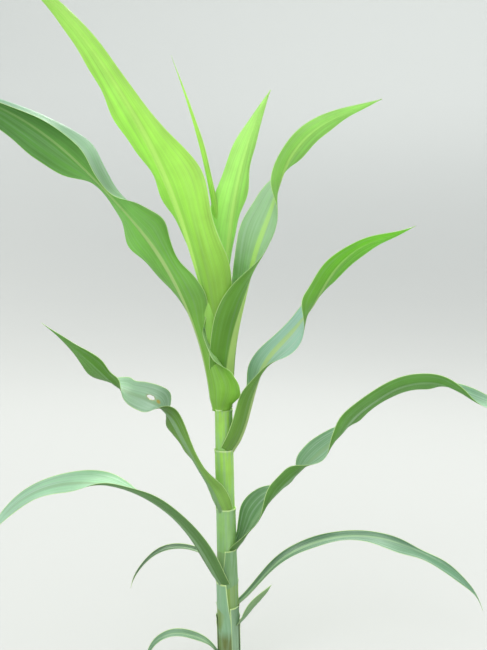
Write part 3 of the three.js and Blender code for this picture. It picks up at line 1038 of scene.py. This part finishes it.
def sheath_places(index, z, round_share):
    """A place in millimetres for each height and each share of the way round."""
    leaf, shape = SHEATHED[index], SHEATHS[index]
    down = (leaf["collar"] - z) / (leaf["collar"] - lower_edge(index))
    start = np.radians(along(shape["margin"], down))[:, None]
    angle = start + leaf["side"] * math.radians(shape["wrap"]) * round_share
    tucked = TUCK * smooth(collar_below(index) - z, 0, TUCK_OVER)[:, None]
    lifted = MARGIN_LIFT * (1 - smooth(round_share, 0, LIFTED_SHARE))
    veined = smooth(np.minimum(round_share, 1 - round_share), 0, VEIN_FREE_SHARE)
    grooves = SHEATH_VEIN_HEIGHT * (1 - veins(SHEATH_COLUMNS)) * veined
    radius = sheath_radius(index, z)[:, None] + lifted - grooves - tucked
    ring = np.stack([np.sin(angle) * radius, -np.cos(angle) * radius, 0 * radius], axis=-1)
    return stalk_centre(z)[:, None] + ring


def make_sheath(index):
    leaf, low = SHEATHED[index], lower_edge(index)
    height = leaf["collar"] - low
    rows = round(height / SHEATH_ROW_SPACING)
    piece, column, row = flat_grid(f"sheath_{index + 1:02d}", SHEATH_COLUMNS, rows)
    up_share = np.linspace(0, 1, rows + 1)
    round_share = np.linspace(0, 1, SHEATH_COLUMNS + 1)
    places = sheath_places(index, low + height * up_share, round_share)
    place_grid(piece, column, row, places, 2 * round_share - 1, up_share)
    if leaf["side"] < 0:
        turn_normals()
    solidify(piece, SHEATH_THICKNESS, -1)
    return piece


print("veins of a sheath:", SHEATH_COLUMNS // VEIN_COLUMNS)

# %% [markdown]
# ### The finish of a sheath
# A sheath is green at its collar, greyer with bloom further down, and brownish at its foot, up to a wandering
# edge. Its outer margin is a thin pale line, partly painted highlight, palest under the pale collar.

# %% Sheaths
FOOT_BROWN = linear(104, 118, 62)
BLOOM = linear(150, 184, 152)
WANDER = 0.1
WANDER_GRAINS = (30.0, 4.0)
STREAK_GRAINS = (60.0, 3.0)
BLOOM_GRAINS = (13.0, 1.6)
SHEATH_CLOUDS = 45.0
MARGIN_AT = (0.478, 0.49)
LEAST_PALE = 0.28


def sheath_finish(name, top, bottom, brown):
    """The finish of a sheath. brown: the share of its height up to which it is brownish."""
    material, tree, output = new_material(name)
    place, round_stalk, up_sheath = map_parts(tree)
    wander = stretched_noise(tree, place, WANDER_GRAINS)
    wander = math_node(tree, "MULTIPLY", wander, step_between(tree, up_sheath, 0.9, 0.7, WANDER))
    stops = [(0.8 * brown, FOOT_BROWN), (brown, bottom), (0.93, top), (0.975, top), (0.99, RIB_PALE)]
    colour = ramp(tree, math_node(tree, "ADD", up_sheath, wander), stops)

    streaks = stretched_noise(tree, place, STREAK_GRAINS, 3.0)
    light = math_node(tree, "MULTIPLY_ADD", streaks, 0.36, 0.68)
    light = math_node(tree, "MULTIPLY_ADD", cloud_noise(tree, SHEATH_CLOUDS), 0.3, light)
    colour = shaded(tree, colour, light)
    bloom = step_between(tree, stretched_noise(tree, place, BLOOM_GRAINS), 0.42, 0.62, 0.45)
    colour = mix_colours(tree, bloom, colour, BLOOM)

    # The outer margin's thin pale line: partly its own colour, partly painted highlight where light catches
    # the edge.
    from_middle = math_node(tree, "ABSOLUTE", math_node(tree, "ADD", round_stalk, -0.5))
    on_margin = step_between(tree, from_middle, *MARGIN_AT)
    palest_high = math_node(tree, "ADD", step_between(tree, up_sheath, 0.45, 0.95, 0.55), LEAST_PALE)
    colour = mix_colours(tree, math_node(tree, "MULTIPLY", on_margin, palest_high), colour, MARGIN_PALE_AND_HIGHLIGHT)
    tree.links.new(satin(tree, colour, streaks, 0.4, 0.46, 0.4), output.inputs[0])
    return material


for index, shape in enumerate(SHEATHS):
    sheath = make_sheath(index)
    top, bottom = (linear(*shape[key]) for key in ("top", "bottom"))
    sheath.data.materials.append(sheath_finish(sheath.name + "_green", top, bottom, shape["brown"]))
    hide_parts("stalk")
    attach(sheath, "root")
print("sheaths:", len(SHEATHS))

# %% [markdown]
# ## The heart of the stalk
# Inside the sheaths is the growing heart. It closes the stalk at the ground, fills it where a sheath stands
# open, and ends in a point deep in the whorl. A round base is extruded upwards ring by ring and narrowed at
# each ring. It has a sheath's finish, so it is mapped like one.

# %% Heart
HEART_SIDES = 48
HEART_INSET = 1.6
WHORL_TOP = 440.0
WHORL_RADIUS = 3.0
HEART_RINGS = (0, 6, 13, 20, 60, 101, 136, 184, 243, 328, 384, 392, 430, WHORL_TOP)


def heart_radius(z):
    if z > SHEATHED[-1]["collar"]:
        return WHORL_RADIUS if z < WHORL_TOP else WHORL_RADIUS / 3
    index = next(i for i, leaf in enumerate(SHEATHED) if leaf["collar"] >= z)
    return float(sheath_radius(index, float(z))) - HEART_INSET * (z > 0)


bpy.ops.object.select_all(action="DESELECT")
bpy.ops.mesh.primitive_circle_add(
    vertices=HEART_SIDES, radius=heart_radius(0) * MM, fill_type="NGON", calc_uvs=True
)
heart = bpy.context.object
heart.name = "stalk_heart"
edit_all()
for low, high in zip(HEART_RINGS, HEART_RINGS[1:]):
    under, centre = (stalk_centre(np.array(float(z))) * MM for z in (low, high))
    bpy.ops.mesh.extrude_region_move(TRANSFORM_OT_translate={"value": tuple(centre - under)})
    narrowing = heart_radius(high) / heart_radius(low)
    bpy.ops.transform.resize(value=(narrowing, narrowing, 1), center_override=tuple(centre))
bpy.ops.mesh.select_all(action="SELECT")
bpy.ops.mesh.normals_make_consistent(inside=False)
bpy.ops.object.mode_set(mode="OBJECT")
print("heart:", len(heart.data.polygons), "faces")

# %% Heart finish
HEART_BROWN = 0.14
ROUNDED_UNDER_DEG = 40

bpy.ops.object.shade_smooth_by_angle(angle=math.radians(ROUNDED_UNDER_DEG))
points = np.array([point.co for point in heart.data.vertices])
around = np.arctan2(points[:, 0], -points[:, 1]) / (2 * math.pi) + 0.5
map_corners(heart.data, np.stack([around, points[:, 2] / (WHORL_TOP * MM)], axis=-1))
heart_tints = linear(160, 210, 90), linear(112, 134, 76)
heart.data.materials.append(sheath_finish("heart_green", *heart_tints, HEART_BROWN))
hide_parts("stalk")
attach(heart, "root")
print("heart mapped up to", round(float(points[:, 2].max()) / MM), "mm")

# %% [markdown]
# ## Floor
# A plain pale floor that rises into a low round wall, far behind the camera on every side, gives an even
# ground from any angle. It is a disc whose edge is extruded outwards and up in a quarter circle.

# %% Floor
FLAT_RADIUS = 2.4
BOWL_RADIUS = 4.2
BOWL_STEPS = 14
FLOOR_SIDES = 128

bpy.ops.object.select_all(action="DESELECT")
bpy.ops.mesh.primitive_circle_add(vertices=FLOOR_SIDES, radius=FLAT_RADIUS, fill_type="NGON")
floor = bpy.context.object
floor.name = "floor"
edit_all()
out = FLAT_RADIUS
for step in range(BOWL_STEPS):
    low, high = (math.radians(90) * i / BOWL_STEPS for i in (step, step + 1))
    rise = BOWL_RADIUS * (math.cos(low) - math.cos(high))
    wider = out + BOWL_RADIUS * (math.sin(high) - math.sin(low))
    bpy.ops.mesh.extrude_region_move(TRANSFORM_OT_translate={"value": (0, 0, rise)})
    bpy.ops.transform.resize(value=(wider / out, wider / out, 1))
    out = wider
bpy.ops.mesh.delete(type="ONLY_FACE")
bpy.ops.mesh.select_all(action="SELECT")
bpy.ops.mesh.normals_make_consistent(inside=True)
bpy.ops.object.mode_set(mode="OBJECT")
bpy.ops.object.shade_smooth()
print("floor across:", round(2 * out, 1), "m")

# %% Floor finish
FLOOR_GREY = (0.34, 0.35, 0.34, 1.0)
WALL_GREY = (0.46, 0.475, 0.46, 1.0)
WALL_HEIGHTS = (0.1, 2.6)

plain, tree, output = new_material("plain_floor")
parts = add(tree, "SeparateXYZ", {0: add(tree, "TexCoord", {}).outputs["Object"]})
on_wall = step_between(tree, parts.outputs[2], *WALL_HEIGHTS)
grey = mix_colours(tree, on_wall, FLOOR_GREY, WALL_GREY)
surface = add(tree, "BsdfPrincipled", {"Base Color": grey, "Roughness": 0.9})
tree.links.new(surface.outputs[0], output.inputs[0])
floor.data.materials.append(plain)
print("the wall is at its full grey from", WALL_HEIGHTS[1], "m up")

# %% [markdown]
# ## Light
# The light is soft and comes from above and behind, as under a bright overcast sky, with a weaker fill from
# the front. A sun with a wide angle gives such soft shadows at any distance.

# %% Light
PLANT_MIDDLE = Vector((0, 0, 0.5))
SKY_COLOUR = (0.96, 0.98, 1, 1)
SKY_STRENGTH = 1.35


def soft_light(name, place, spread_deg, strength, colour=(1, 1, 1)):
    """A broad, far light aimed at the plant, like a bright hazy sky on one side."""
    bpy.ops.object.select_all(action="DESELECT")
    bpy.ops.object.light_add(type="SUN", location=place)
    lamp = bpy.context.object
    lamp.name = name
    lamp.rotation_euler = (PLANT_MIDDLE - Vector(place)).to_track_quat("-Z", "Y").to_euler()
    lamp.data.angle = math.radians(spread_deg)
    lamp.data.energy = strength
    lamp.data.color = colour


soft_light("sky_light", (0.9, 1.6, 3.0), 35, 4.2, (1.0, 0.98, 0.94))
soft_light("front_fill", (-1.2, -2.4, 1.8), 60, 1.9)
world = bpy.data.worlds.new("sky")
bpy.context.scene.world = world
world.use_nodes = True
background = world.node_tree.nodes["Background"]
background.inputs["Color"].default_value = SKY_COLOUR
background.inputs["Strength"].default_value = SKY_STRENGTH
bpy.context.scene.view_settings.view_transform = "Standard"
